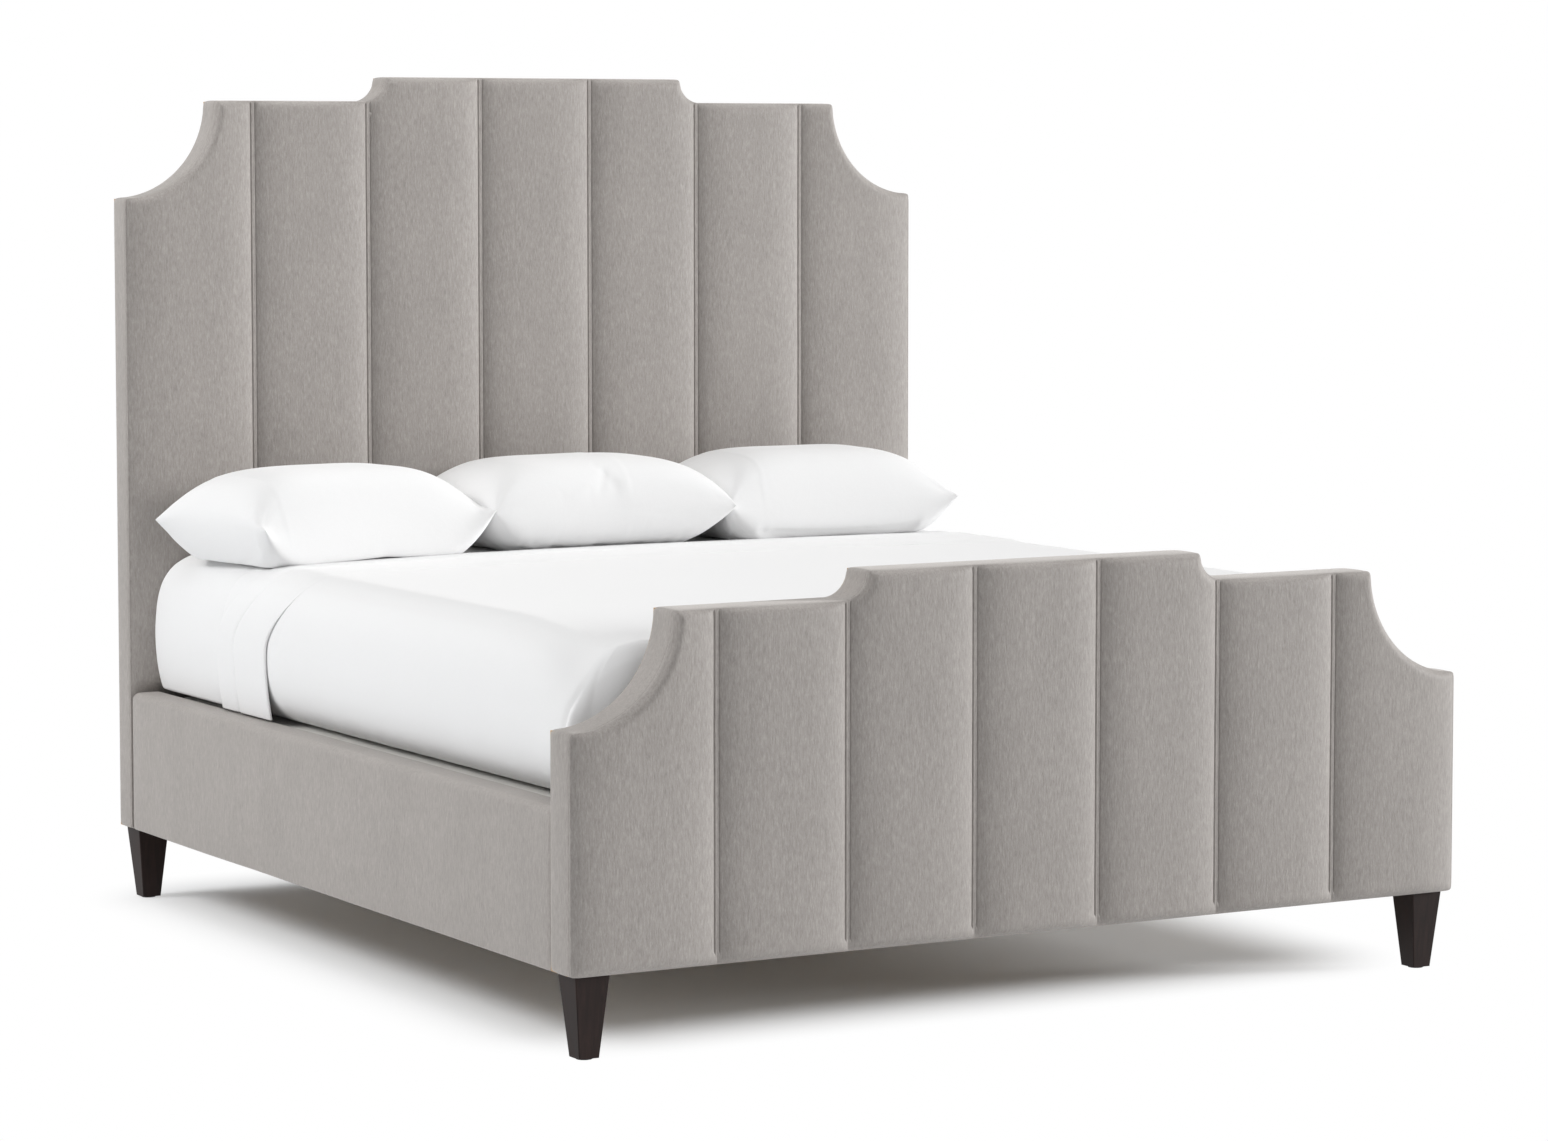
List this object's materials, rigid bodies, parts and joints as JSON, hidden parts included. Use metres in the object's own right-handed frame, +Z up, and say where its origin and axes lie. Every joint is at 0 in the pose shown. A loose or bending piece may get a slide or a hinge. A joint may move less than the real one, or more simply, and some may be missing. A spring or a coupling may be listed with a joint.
{
  "type": "upholstered bed",
  "caption": "King bed with a stepped, channel-padded headboard and footboard, padded side rails, tapered wooden legs, slatted base, mattress set and pillows.",
  "frame": {"origin": "on the floor, under the middle of the bed", "axes": "+Y points from the footboard to the headboard, +X is across the bed to the right seen from the foot, +Z is up"},
  "size_m": [2.085, 2.286, 1.888],
  "materials": {
    "upholstery": "heathered warm grey chenille with a soft sheen",
    "foam": "upholstery foam",
    "plywood": "sanded plywood",
    "frame_timber": "planed softwood",
    "leg_wood": "espresso stain, satin lacquer",
    "black_steel": "black powder coat",
    "zinc_steel": "zinc plate",
    "glide_plastic": "moulded nylon",
    "ticking": "woven mattress ticking",
    "white_cotton": "smooth white cotton percale"
  },
  "bodies": {
    "bed_frame": {"beam_hangers": "black_steel", "board_bolts": "zinc_steel", "centre_beam": "frame_timber", "corner_brackets": "black_steel", "footboard_back_cover": "upholstery", "footboard_bottom_rail": "frame_timber", "footboard_cover": "upholstery", "footboard_header": "frame_timber", "footboard_left_post": "frame_timber", "footboard_pad_1": "foam", "footboard_pad_2": "foam", "footboard_pad_3": "foam", "footboard_pad_4": "foam", "footboard_pad_5": "foam", "footboard_pad_6": "foam", "footboard_pad_7": "foam", "footboard_panel": "plywood", "footboard_right_post": "frame_timber", "front_left_leg": "leg_wood", "front_right_leg": "leg_wood", "headboard_back_cover": "upholstery", "headboard_bottom_rail": "frame_timber", "headboard_cover": "upholstery", "headboard_header": "frame_timber", "headboard_left_post": "frame_timber", "headboard_pad_1": "foam", "headboard_pad_2": "foam", "headboard_pad_3": "foam", "headboard_pad_4": "foam", "headboard_pad_5": "foam", "headboard_pad_6": "foam", "headboard_pad_7": "foam", "headboard_panel": "plywood", "headboard_right_post": "frame_timber", "left_rail_board": "frame_timber", "left_rail_cover": "upholstery", "left_rail_padding": "foam", "leg_bolts": "zinc_steel", "leg_glides": "glide_plastic", "rail_bolts": "zinc_steel", "rail_cleats": "frame_timber", "rear_left_leg": "leg_wood", "rear_right_leg": "leg_wood", "right_rail_board": "frame_timber", "right_rail_cover": "upholstery", "right_rail_padding": "foam", "slats": "frame_timber", "support_legs": "frame_timber"},
    "box_spring": {"box_springs": "ticking"},
    "bedding": {"mattress": "ticking", "fitted_sheet": "white_cotton", "coverlet": "white_cotton", "top_sheet": "white_cotton"},
    "left_pillow": {"left_pillow": "white_cotton"},
    "centre_pillow": {"centre_pillow": "white_cotton"},
    "right_pillow": {"right_pillow": "white_cotton"},
    "front_leveler": {"front_leveler": "glide_plastic"},
    "rear_leveler": {"rear_leveler": "glide_plastic"}
  },
  "joints": [
    {"name": "box_spring_lift", "type": "slide", "parent": "bed_frame", "child": "box_spring", "axis": [0, 0, 1], "range_m": [0, 0.7]},
    {"name": "mattress_lift", "type": "slide", "parent": "box_spring", "child": "bedding", "axis": [0, 0, 1], "range_m": [0, 0.45]},
    {"name": "left_pillow_lift", "type": "slide", "parent": "bedding", "child": "left_pillow", "axis": [0, 0, 1], "range_m": [0, 0.3]},
    {"name": "centre_pillow_lift", "type": "slide", "parent": "bedding", "child": "centre_pillow", "axis": [0, 0, 1], "range_m": [0, 0.3]},
    {"name": "right_pillow_lift", "type": "slide", "parent": "bedding", "child": "right_pillow", "axis": [0, 0, 1], "range_m": [0, 0.3]},
    {"name": "front_leveler_turn", "type": "hinge", "parent": "bed_frame", "child": "front_leveler", "pos_m": [0, -0.28, 0], "axis": [0, 0, 1], "continuous": true},
    {"name": "rear_leveler_turn", "type": "hinge", "parent": "bed_frame", "child": "rear_leveler", "pos_m": [0, 0.28, 0], "axis": [0, 0, 1], "continuous": true}
  ]
}
